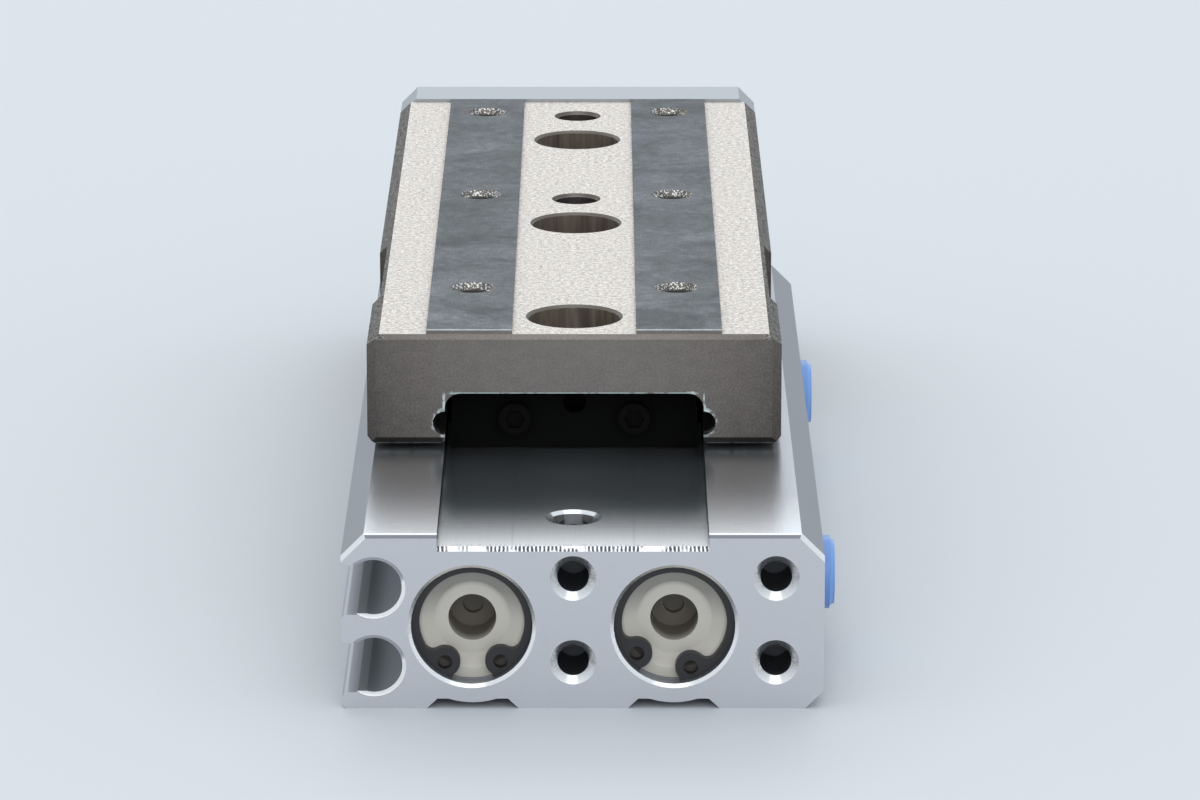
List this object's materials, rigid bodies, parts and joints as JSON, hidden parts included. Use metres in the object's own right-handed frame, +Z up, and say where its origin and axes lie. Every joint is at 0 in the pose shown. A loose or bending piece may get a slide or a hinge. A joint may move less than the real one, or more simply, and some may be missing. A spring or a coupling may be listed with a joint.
{
  "type": "air slide table",
  "caption": "Compact air slide table: a flat cylinder body whose piston rods push an end plate and draw a ball-guided table along its top.",
  "frame": {"origin": "underside of the body, on the axis of the middle mounting hole, midway between the bores", "axes": "+X to the side with the air ports, +Y from the head end to the rod end, which is the way the table extends, +Z up through the table"},
  "size_m": [0.0517, 0.1588, 0.032],
  "materials": {
    "body_aluminium": "clear satin anodised extrusion, machined lands brushed lengthways",
    "table_steel": "bead-blasted top with ground bands, milled ends",
    "plate_aluminium": "clear anodised, satin",
    "guide_steel": "ground hardened steel",
    "guide_plastic": "moulded black plastic",
    "cap_plastic": "moulded off-white plastic",
    "ring_steel": "black phosphated spring steel",
    "seal_rubber": "black nitrile rubber",
    "rod_steel": "hard chromed and polished",
    "ball_steel": "polished bearing steel",
    "piston_aluminium": "turned",
    "magnet_black": "moulded magnet, dull black",
    "bumper_rubber": "moulded elastomer",
    "cover_aluminium": "turned and anodised",
    "plug_plastic": "moulded blue polyethylene",
    "screw_steel": "dark oxide finished steel",
    "cap_screw_steel": "plain steel"
  },
  "bodies": {
    "cylinder_body": {"body": "body_aluminium", "guide_block": "guide_steel", "guide_end_cap_head_side": "guide_plastic", "guide_end_cap_rod_side": "guide_plastic", "guide_end_cap_screws": "cap_screw_steel", "guide_block_screws": "screw_steel", "port_plug_head_side": "plug_plastic", "port_plug_rod_side": "plug_plastic", "head_cap_left": "cap_plastic", "head_cap_o_ring_left": "seal_rubber", "head_retaining_ring_left": "ring_steel", "rod_cover_left": "cover_aluminium", "rod_cover_o_ring_left": "seal_rubber", "rod_seal_left": "seal_rubber", "rod_seal_washer_left": "cover_aluminium", "rod_retaining_ring_left": "ring_steel", "guide_balls_left": "ball_steel", "head_cap_right": "cap_plastic", "head_cap_o_ring_right": "seal_rubber", "head_retaining_ring_right": "ring_steel", "rod_cover_right": "cover_aluminium", "rod_cover_o_ring_right": "seal_rubber", "rod_seal_right": "seal_rubber", "rod_seal_washer_right": "cover_aluminium", "rod_retaining_ring_right": "ring_steel", "guide_balls_right": "ball_steel"},
    "carriage": {"slide_table": "table_steel", "end_plate": "plate_aluminium", "end_plate_screws": "screw_steel", "rod_end_screws": "screw_steel", "piston_rod_left": "rod_steel", "piston_left": "piston_aluminium", "piston_seal_left": "seal_rubber", "piston_magnet_left": "magnet_black", "magnet_retainer_left": "piston_aluminium", "piston_nut_left": "screw_steel", "head_bumper_left": "bumper_rubber", "rod_bumper_left": "bumper_rubber", "piston_rod_right": "rod_steel", "piston_right": "piston_aluminium", "piston_seal_right": "seal_rubber", "piston_magnet_right": "magnet_black", "magnet_retainer_right": "piston_aluminium", "piston_nut_right": "screw_steel", "head_bumper_right": "bumper_rubber", "rod_bumper_right": "bumper_rubber"}
  },
  "joints": [
    {"name": "table_slide", "type": "slide", "parent": "cylinder_body", "child": "carriage", "axis": [0, 1, 0], "range_m": [-0.0298, 0.0202]}
  ]
}
